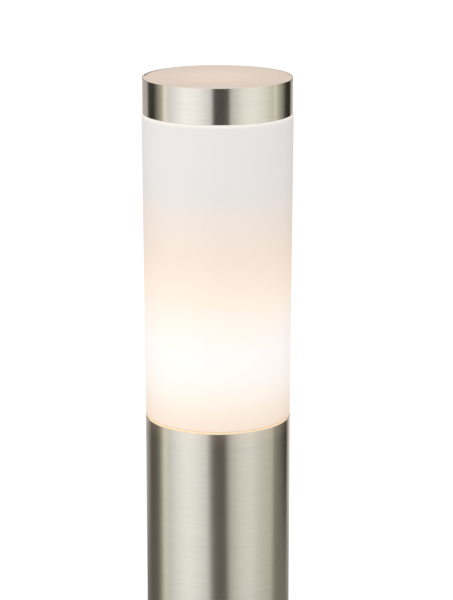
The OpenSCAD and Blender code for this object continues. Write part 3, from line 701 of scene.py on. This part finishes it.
def make_lamp_housing():
    """Moulded heat sink between the lamp's cap and its globe, with grooves between its ribs."""
    low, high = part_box("lamp_housing")
    cap_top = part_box("lamp_screw_cap")[1].z
    cap_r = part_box("lamp_screw_cap")[1].x
    ribs, groove, plain_end, fade = 30, 0.9 * MM, 3 * MM, 2 * MM
    sides, rows = 240, 40
    plug_r, seat_r, neck_r = 11.3 * MM, cap_r - 0.9 * MM, cap_r + 1 * MM
    # Height and radius up the outside, which swells from the neck to the globe
    shape = [(cap_top, neck_r), (cap_top + 4 * MM, neck_r + 0.6 * MM),
             ((cap_top + high.z) / 2, high.x * 0.82), (high.z, high.x)]

    def profile(z):
        """Radius without ribs, straight between the shape's points."""
        for (z0, r0), (z1, r1) in zip(shape, shape[1:]):
            if z <= z1:
                return r0 + (r1 - r0) * (z - z0) / (z1 - z0)
        return high.x

    def ribbed(z):
        """Radius by angle, with grooves between the ribs that fade out at both ends."""
        reach = eased((z - cap_top - plain_end) / fade) * eased((high.z - plain_end - z) / fade)
        return lambda a: profile(z) - groove * reach * eased(1.6 * math.cos(ribs * a) + 0.5)

    rings = [turned(r, z, sides) for r, z in ((plug_r, low.z), (plug_r, cap_top), (seat_r, cap_top))]
    rings += [turned(ribbed(z), z, sides) for z in steps(cap_top, high.z, rows)]
    stand_in_for(loft("lamp_heat_sink", rings), "lamp_housing", "lamp")


def make_base_weld():
    """Fillet weld with the overlapping ripples of its bead."""
    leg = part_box("base_weld")[1].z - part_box("base_weld")[0].z
    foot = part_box("base_weld")[0].z
    ripples, sides_per_ripple, rows = 104, 8, 7
    sag, ripple_height, ripple_bow = 0.16, 0.10, 0.9
    sides = ripples * sides_per_ripple

    def face(share, angle):
        """A point across the weld's face, from the flange to the post, raised at each ripple."""
        out, up = leg * (1 - share), leg * share
        phase = (ripples * angle / FULL_TURN + ripple_bow * share * (1 - share)) % 1.0
        lift = leg * math.sin(math.pi * share) * (ripple_height * math.sqrt(1 - phase) - sag)
        return POST_R + out + lift, foot + up + lift

    rings = []
    for k in range(sides):
        angle = FULL_TURN * k / sides
        points = [(POST_R, foot)] + [face(s, angle) for s in steps(0, 1, rows)]
        rings.append([(*at_angle(r, angle), z) for r, z in points])
    stand_in_for(loft("weld_bead", rings, loop=True), "base_weld", "post")


def smooth_route(points, count):
    """Catmull-Rom curve through the points, with count steps to a span."""
    points = [Vector(p) * MM for p in points]
    path = []
    for i in range(len(points) - 1):
        a, b = points[max(i - 1, 0)], points[i]
        c, d = points[i + 1], points[min(i + 2, len(points) - 1)]
        for t in steps(0, 1, count)[:-1]:
            path.append(0.5 * (2 * b + (c - a) * t + (2 * a - 5 * b + 4 * c - d) * t * t
                               + (3 * b - a - 3 * c + d) * t * t * t))
    return path + [points[-1]]


def wire(name, path, radius, sides, across):
    """A round wire along a path; across is a direction that the path never runs in."""
    rings = []
    for i, point in enumerate(path):
        along = (path[min(i + 1, len(path) - 1)] - path[max(i - 1, 0)]).normalized()
        u = along.cross(Vector(across)).normalized()
        v = along.cross(u)
        circle = [at_angle(radius, FULL_TURN * k / sides) for k in range(sides)]
        rings.append([point + a * u + b * v for a, b in circle])
    return loft(name, rings)


def make_lead(name, node, route, across):
    """A silicone lead along its route, round and smooth; gives the piece and its number of sides."""
    lead_r, sides, steps_per_span = 1.28 * MM, 20, 14
    piece = wire(name, smooth_route(route, steps_per_span), lead_r, sides, across)
    stand_in_for(piece, node, "post")
    return piece, sides


def make_contact_spring():
    """Compression spring under the centre contact, level at both ends, which shortens as that is pressed."""
    low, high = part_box("contact_spring")
    wire_r, wire_sides, turns, level, per_turn = 0.35 * MM, 12, 5.8, 0.4, 28
    coil_r = high.x - wire_r
    foot, rise = low.z + wire_r, high.z - low.z - 2 * wire_r
    path = []
    for turn in steps(0, turns, round(turns * per_turn)):
        climb = min(max((turn - level) / (turns - 2 * level), 0.0), 1.0)
        path.append(Vector((*at_angle(coil_r, FULL_TURN * turn), foot + rise * climb)))
    piece = wire("contact_coil", path, wire_r, wire_sides, (0, 0, 1))
    stand_in_for(piece, "contact_spring", "post")
    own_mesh(piece)


def make_leads():
    """The three leads, whose routes repeat the CAD's, in millimetres. The earth lead is green with two
    yellow stripes."""
    live = [(-10, -1.5, 334.5), (-10, -1.5, 342.5), (-10, -5, 347.5), (-9, -11, 352.5), (-8, -13, 357.5),
            (-8, -13, 363)]
    neutral = [(-x, y, z) for x, y, z in live]
    earth = [(0, -1.5, 334.5), (0, -1.5, 341.5), (-1, 0, 345.5), (0, 3, 348.5), (3, 4.1, 348), (8, 4.1, 348)]
    make_lead("live_silicone_lead", "live_lead", live, (1, 0, 0))
    make_lead("neutral_silicone_lead", "neutral_lead", neutral, (1, 0, 0))
    piece, sides = make_lead("earth_silicone_lead", "earth_lead", earth, (0, 1, 0))
    piece.data.materials.append(MATERIALS["lead_yellow"])
    for face in piece.data.polygons:
        quarter = (face.index % sides) * 4 // sides
        if quarter in (0, 2):
            face.material_index = 1


def cut_thread(angle, z, pitch):
    """From 0 in the groove to 1 on the crest of a cut thread, right-handed."""
    return 1 - abs(2 * ((z / pitch - angle / FULL_TURN) % 1.0) - 1)


def threaded_rings(radius, low, high, pitch, depth):
    """Rings of a cut thread along Z, run out at both ends."""
    run_out = 0.6 * pitch
    rings = []
    for z in steps(low, high, round((high - low) / (pitch / CUT_ROWS_PER_PITCH))):
        ends = max(0.0, min(1.0, (z - low) / run_out, (high - z) / run_out))
        rings.append(turned(lambda a: radius - depth * (1 - ends * cut_thread(a, z, pitch)), z, CUT_SIDES))
    return rings


def make_cap_stud():
    """M5 weld stud under the cap: a thread below a thin flange with an eased edge."""
    low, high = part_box("cap_stud")
    stud_r, pitch, depth = 2.5 * MM, 0.8 * MM, 0.42 * MM
    flange_t, plain, ease = 0.8 * MM, 1 * MM, 0.15 * MM
    flange = high.z - flange_t
    rings = threaded_rings(stud_r, low.z, flange - plain, pitch, depth)
    rings += [turned(r, z, CUT_SIDES) for r, z in (
        (stud_r - depth, flange), (high.x - ease, flange), (high.x, flange + ease), (high.x, high.z))]
    stand_in_for(loft("cap_threaded_stud", rings), "cap_stud", "head")


def hexagon(across_flats, z):
    """A ring of points on a hexagon, as many as a cut thread's rings have."""
    def reach(a):
        """Radius by angle."""
        off = (a + math.pi / 6) % (math.pi / 3) - math.pi / 6
        return across_flats / 2 / math.cos(off)
    return turned(reach, z, CUT_SIDES)


def make_lock_screw(side):
    """M4 set screw with a hexagon socket, at 45 degrees from the rear of the post."""
    node = "lock_screw_" + side
    low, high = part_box(node)
    middle = (low + high) / 2
    outwards = Vector((middle.x, middle.y, 0)).normalized()
    length, radius, pitch, depth = 4 * MM, 1.95 * MM, 0.7 * MM, 0.38 * MM
    socket, mouth, chamfer, socket_depth = 2.0 * MM, 2.2 * MM, 0.1 * MM, 1.8 * MM
    rings = threaded_rings(radius, 0.0, length, pitch, depth)
    rings += [hexagon(width, z) for width, z in (
        (mouth, length), (socket, length - chamfer), (socket, length - socket_depth))]
    from_axis = Vector((middle.x, middle.y, 0)).length
    inner_end = Vector((0, 0, middle.z)) + outwards * (from_axis - length / 2)
    turn = outwards.to_track_quat("Z", "Y").to_matrix()
    placed = [[inner_end + turn @ Vector(p) for p in ring] for ring in rings]
    stand_in_for(loft("set_screw_" + side, placed), node, node)


make_camera()
make_floor()
make_reflected_room()
make_light()

MATERIALS = make_materials()
for finish_name, finish_nodes in FINISHES.items():
    for finish_node in finish_nodes:
        set_material(finish_node, MATERIALS[finish_name])

make_lamp_screw_cap()
make_lampholder_shell()
make_lamp_housing()
make_base_weld()
make_leads()
make_contact_spring()
make_cap_stud()
make_lock_screw("left")
make_lock_screw("right")
